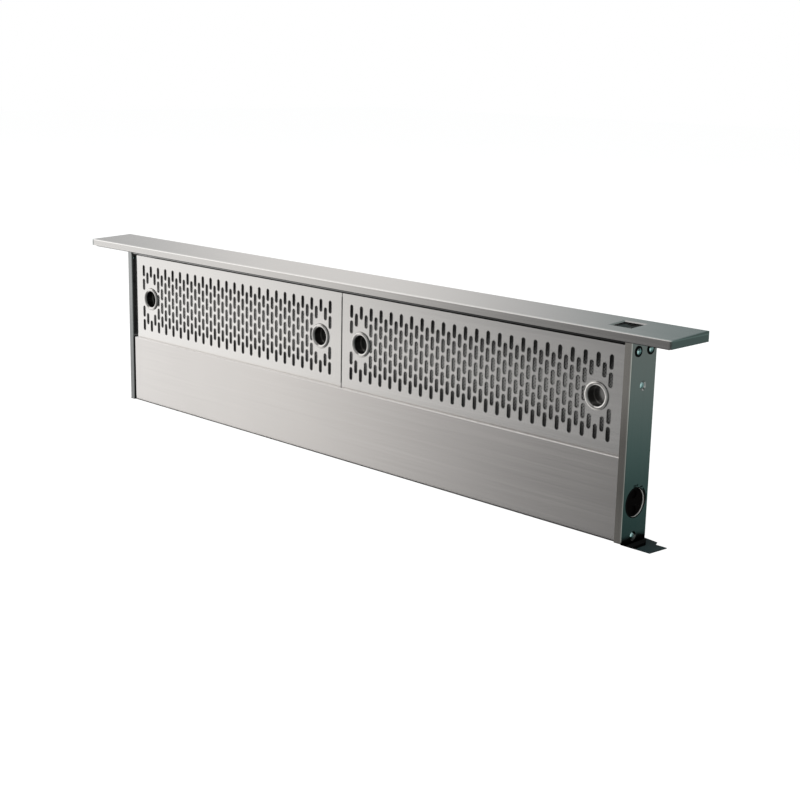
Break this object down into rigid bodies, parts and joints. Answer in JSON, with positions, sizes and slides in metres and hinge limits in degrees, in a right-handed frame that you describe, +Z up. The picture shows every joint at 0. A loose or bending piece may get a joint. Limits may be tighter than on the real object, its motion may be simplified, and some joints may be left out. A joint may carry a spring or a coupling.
{
  "type": "downdraft vent",
  "caption": "Slim telescoping downdraft vent: steel riser with flat cap and slotted lift-out filters rises by lead screw from a housing with a round duct collar.",
  "frame": {"origin": "on the worktop surface, at the middle of the front face of the riser", "axes": "+X along the vent to the right as seen from the cook, +Y to the back, +Z up; stored raised"},
  "size_m": [0.914, 0.0935, 0.7124],
  "materials": {
    "brushed_steel": "long fine brushed grain",
    "pressed_steel": "smooth pressed stainless steel",
    "inner_steel": "plain steel",
    "galvanised_steel": "galvanised",
    "plated_screws": "zinc plated",
    "dark_plate": "dark satin",
    "mesh": "layered mesh",
    "black_plastic": "matte",
    "gloss_black": "gloss",
    "brass": "machined",
    "rubber": "soft",
    "white_plastic": "natural acetal",
    "board": "coated board",
    "magnet": "plated",
    "motor_paint": "satin dark grey"
  },
  "bodies": {
    "housing": {"back_sheet": "galvanised_steel", "end_wall_left": "galvanised_steel", "end_wall_right": "galvanised_steel", "housing_floor": "galvanised_steel", "front_panel": "galvanised_steel", "housing_screws": "plated_screws", "mouth_seals": "rubber", "end_plate": "dark_plate", "guide_rail_left": "galvanised_steel", "guide_rail_right": "galvanised_steel", "thrust_bearing": "inner_steel", "motor_bracket": "inner_steel", "gearbox": "motor_paint", "lift_motor": "motor_paint", "limit_switches": "black_plastic", "duct_collar": "galvanised_steel", "wiring_box": "galvanised_steel", "wiring_box_cover": "galvanised_steel", "control_board": "board", "counter_bracket_left": "galvanised_steel", "counter_bracket_right": "galvanised_steel", "support_leg_left": "galvanised_steel", "support_leg_right": "galvanised_steel", "bracket_screws": "plated_screws"},
    "riser": {"cap": "brushed_steel", "cap_base": "inner_steel", "cap_gasket": "rubber", "header_rail": "inner_steel", "side_panel_left": "brushed_steel", "side_panel_right": "brushed_steel", "lower_front_panel": "brushed_steel", "rear_panel": "brushed_steel", "filter_seat": "inner_steel", "holding_magnets": "magnet", "crosshead": "inner_steel", "lift_nut": "brass", "slide_shoe_left": "white_plastic", "slide_shoe_right": "white_plastic", "side_screws": "plated_screws", "screw_washers": "black_plastic", "switch_body": "black_plastic", "switch_terminals": "brass", "knob_ring": "pressed_steel", "dial_ring": "black_plastic", "speed_control": "black_plastic"},
    "lead_screw": {"lead_screw": "inner_steel"},
    "left_filter": {"filter_cover_left": "brushed_steel", "filter_mesh_left": "mesh", "filter_frame_left": "pressed_steel", "finger_cups_left": "pressed_steel"},
    "right_filter": {"filter_cover_right": "brushed_steel", "filter_mesh_right": "mesh", "filter_frame_right": "pressed_steel", "finger_cups_right": "pressed_steel"},
    "rocker": {"rocker": "gloss_black"},
    "speed_knob": {"speed_knob": "gloss_black"}
  },
  "joints": [
    {"name": "riser_lift", "type": "slide", "parent": "housing", "child": "riser", "axis": [0, 0, 1], "range_m": [-0.2, 0]},
    {"name": "screw_turn", "type": "hinge", "parent": "housing", "child": "lead_screw", "pos_m": [0, 0.027, -0.2], "axis": [0, 0, 1], "range_deg": [0, 3600]},
    {"name": "filter_left_pull", "type": "slide", "parent": "riser", "child": "left_filter", "axis": [0, -1, 0], "range_m": [0, 0.06]},
    {"name": "filter_right_pull", "type": "slide", "parent": "riser", "child": "right_filter", "axis": [0, -1, 0], "range_m": [0, 0.06]},
    {"name": "rocker_tilt", "type": "hinge", "parent": "riser", "child": "rocker", "pos_m": [0.385, 0.0162, 0.2073], "axis": [0, 1, 0], "range_deg": [-6, 6], "stiffness_Nm_per_rad": 0.03},
    {"name": "knob_turn", "type": "hinge", "parent": "riser", "child": "speed_knob", "pos_m": [0.4, 0.0205, 0.038], "axis": [1, 0, 0], "range_deg": [0, 270]}
  ],
  "couplings": [
    {"joint": "screw_turn", "follows": "riser_lift", "rad_per_m": -314.16}
  ]
}
